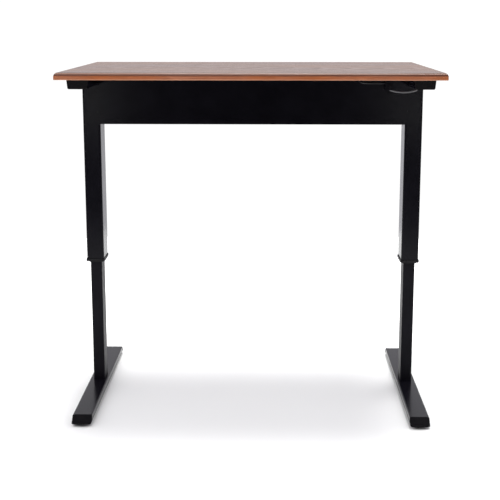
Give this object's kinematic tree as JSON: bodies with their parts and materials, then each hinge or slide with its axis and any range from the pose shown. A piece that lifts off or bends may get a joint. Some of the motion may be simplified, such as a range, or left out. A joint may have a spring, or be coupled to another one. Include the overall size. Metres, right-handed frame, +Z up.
{
  "type": "height adjustable standing desk",
  "caption": "Sit-stand desk: wood-look top on a black steel frame of two telescopic gas-spring columns with long feet, a crossbar and a hand lever under the front right edge.",
  "frame": {"origin": "on the floor under the middle of the top", "axes": "+X to the user's right, +Y away from the user toward the rear edge, +Z up; the user stands at -Y"},
  "size_m": [1.2, 0.75, 1.15],
  "materials": {
    "board": "particle board core with a dark backing sheet below",
    "laminate": "satin wood-grain laminate",
    "nosing": "satin stained moulding",
    "powder_coat": "semi-gloss black powder coat",
    "black_plastic": "fine matt black",
    "black_screw": "black oxide",
    "white_plastic": "plain slippery plastic",
    "zinc": "bright zinc plate",
    "polished_steel": "polished",
    "black_enamel": "gloss black enamel",
    "cast_alloy": "as cast"
  },
  "bodies": {
    "base": {"inner_column_left": "powder_coat", "inner_column_right": "powder_coat", "inner_guide_left": "white_plastic", "inner_guide_right": "white_plastic", "foot_left": "powder_coat", "foot_right": "powder_coat", "foot_end_caps": "black_plastic", "column_base_plates": "powder_coat", "base_bolts": "zinc", "glide_nuts": "zinc", "gas_cylinder_left": "black_enamel", "gas_cylinder_right": "black_enamel"},
    "upper": {"desktop_board": "board", "top_laminate": "laminate", "edge_nosing": "nosing", "arm_left": "powder_coat", "arm_right": "powder_coat", "arm_end_caps": "black_plastic", "arm_screws": "zinc", "outer_column_left": "powder_coat", "outer_column_right": "powder_coat", "column_cap_plates": "powder_coat", "column_collar_left": "black_plastic", "column_collar_right": "black_plastic", "apron_front": "powder_coat", "apron_rear": "powder_coat", "apron_end_brackets": "powder_coat", "apron_screws": "black_screw", "gas_rod_left": "polished_steel", "gas_rod_right": "polished_steel", "release_head_left": "cast_alloy", "release_head_right": "cast_alloy", "sheave_axles": "polished_steel", "sync_rope_front": "zinc", "sync_rope_rear": "zinc", "rope_long_leads": "zinc", "rope_short_leads": "zinc", "lever_bracket": "powder_coat", "lever_bracket_screws": "black_screw", "lever_pin": "black_screw", "lever_spring": "polished_steel", "release_cable_left": "black_plastic", "release_cable_right": "black_plastic"},
    "release_lever": {"release_lever": "black_plastic"},
    "valve_rocker_left": {"valve_rocker_left": "zinc"},
    "valve_rocker_right": {"valve_rocker_right": "zinc"},
    "release_pin_left": {"release_pin_left": "polished_steel"},
    "release_pin_right": {"release_pin_right": "polished_steel"},
    "top_sheave_left_front": {"top_sheave_left_front": "zinc"},
    "top_sheave_left_rear": {"top_sheave_left_rear": "zinc"},
    "top_sheave_right_front": {"top_sheave_right_front": "zinc"},
    "top_sheave_right_rear": {"top_sheave_right_rear": "zinc"},
    "bottom_sheave_left": {"bottom_sheave_left": "zinc"},
    "bottom_sheave_right": {"bottom_sheave_right": "zinc"},
    "glide_front_left": {"glide_front_left": "black_plastic"},
    "glide_front_right": {"glide_front_right": "black_plastic"},
    "glide_rear_left": {"glide_rear_left": "black_plastic"},
    "glide_rear_right": {"glide_rear_right": "black_plastic"}
  },
  "joints": [
    {"name": "lift", "type": "slide", "parent": "base", "child": "upper", "axis": [0, 0, 1], "range_m": [-0.43, 0], "deforming": ["rope_long_leads", "rope_short_leads"]},
    {"name": "lever_squeeze", "type": "hinge", "parent": "upper", "child": "release_lever", "pos_m": [0.428, -0.326, 1.104], "axis": [0, -1, 0], "range_deg": [0, 12], "stiffness_Nm_per_rad": 0.8, "springref_deg": -11.46},
    {"name": "valve_rocker_left_turn", "type": "hinge", "parent": "upper", "child": "valve_rocker_left", "pos_m": [-0.541, 0.03, 1.08], "axis": [0, -1, 0], "range_deg": [0, 12]},
    {"name": "release_pin_left_press", "type": "slide", "parent": "upper", "child": "release_pin_left", "axis": [0, 0, -1], "range_m": [0, 0.00265]},
    {"name": "valve_rocker_right_turn", "type": "hinge", "parent": "upper", "child": "valve_rocker_right", "pos_m": [0.541, 0.03, 1.08], "axis": [0, 1, 0], "range_deg": [0, 12]},
    {"name": "release_pin_right_press", "type": "slide", "parent": "upper", "child": "release_pin_right", "axis": [0, 0, -1], "range_m": [0, 0.00265]},
    {"name": "top_sheave_left_front_turn", "type": "hinge", "parent": "upper", "child": "top_sheave_left_front", "pos_m": [-0.542, -0.008, 1.055], "axis": [0, 1, 0], "continuous": true},
    {"name": "top_sheave_left_rear_turn", "type": "hinge", "parent": "upper", "child": "top_sheave_left_rear", "pos_m": [-0.542, 0.068, 1.055], "axis": [0, 1, 0], "continuous": true},
    {"name": "bottom_sheave_left_turn", "type": "hinge", "parent": "upper", "child": "bottom_sheave_left", "pos_m": [-0.546, 0.068, 0.536], "axis": [0, 1, 0], "continuous": true},
    {"name": "top_sheave_right_front_turn", "type": "hinge", "parent": "upper", "child": "top_sheave_right_front", "pos_m": [0.542, -0.008, 1.055], "axis": [0, 1, 0], "continuous": true},
    {"name": "top_sheave_right_rear_turn", "type": "hinge", "parent": "upper", "child": "top_sheave_right_rear", "pos_m": [0.542, 0.068, 1.055], "axis": [0, 1, 0], "continuous": true},
    {"name": "bottom_sheave_right_turn", "type": "hinge", "parent": "upper", "child": "bottom_sheave_right", "pos_m": [0.546, -0.008, 0.536], "axis": [0, 1, 0], "continuous": true},
    {"name": "glide_front_left_turn", "type": "hinge", "parent": "base", "child": "glide_front_left", "pos_m": [-0.552, -0.295, 0], "axis": [0, 0, 1], "continuous": true},
    {"name": "glide_rear_left_turn", "type": "hinge", "parent": "base", "child": "glide_rear_left", "pos_m": [-0.552, 0.307, 0], "axis": [0, 0, 1], "continuous": true},
    {"name": "glide_front_right_turn", "type": "hinge", "parent": "base", "child": "glide_front_right", "pos_m": [0.552, -0.295, 0], "axis": [0, 0, 1], "continuous": true},
    {"name": "glide_rear_right_turn", "type": "hinge", "parent": "base", "child": "glide_rear_right", "pos_m": [0.552, 0.307, 0], "axis": [0, 0, 1], "continuous": true}
  ],
  "couplings": [
    {"joint": "valve_rocker_left_turn", "follows": "lever_squeeze", "ratio": 1},
    {"joint": "release_pin_left_press", "follows": "lever_squeeze", "m_per_rad": 0.0125},
    {"joint": "valve_rocker_right_turn", "follows": "lever_squeeze", "ratio": 1},
    {"joint": "release_pin_right_press", "follows": "lever_squeeze", "m_per_rad": 0.0125},
    {"joint": "top_sheave_left_front_turn", "follows": "lift", "rad_per_m": -71.429},
    {"joint": "top_sheave_left_rear_turn", "follows": "lift", "rad_per_m": 71.429},
    {"joint": "bottom_sheave_left_turn", "follows": "lift", "rad_per_m": 100},
    {"joint": "top_sheave_right_front_turn", "follows": "lift", "rad_per_m": -71.429},
    {"joint": "top_sheave_right_rear_turn", "follows": "lift", "rad_per_m": 71.429},
    {"joint": "bottom_sheave_right_turn", "follows": "lift", "rad_per_m": -100}
  ]
}
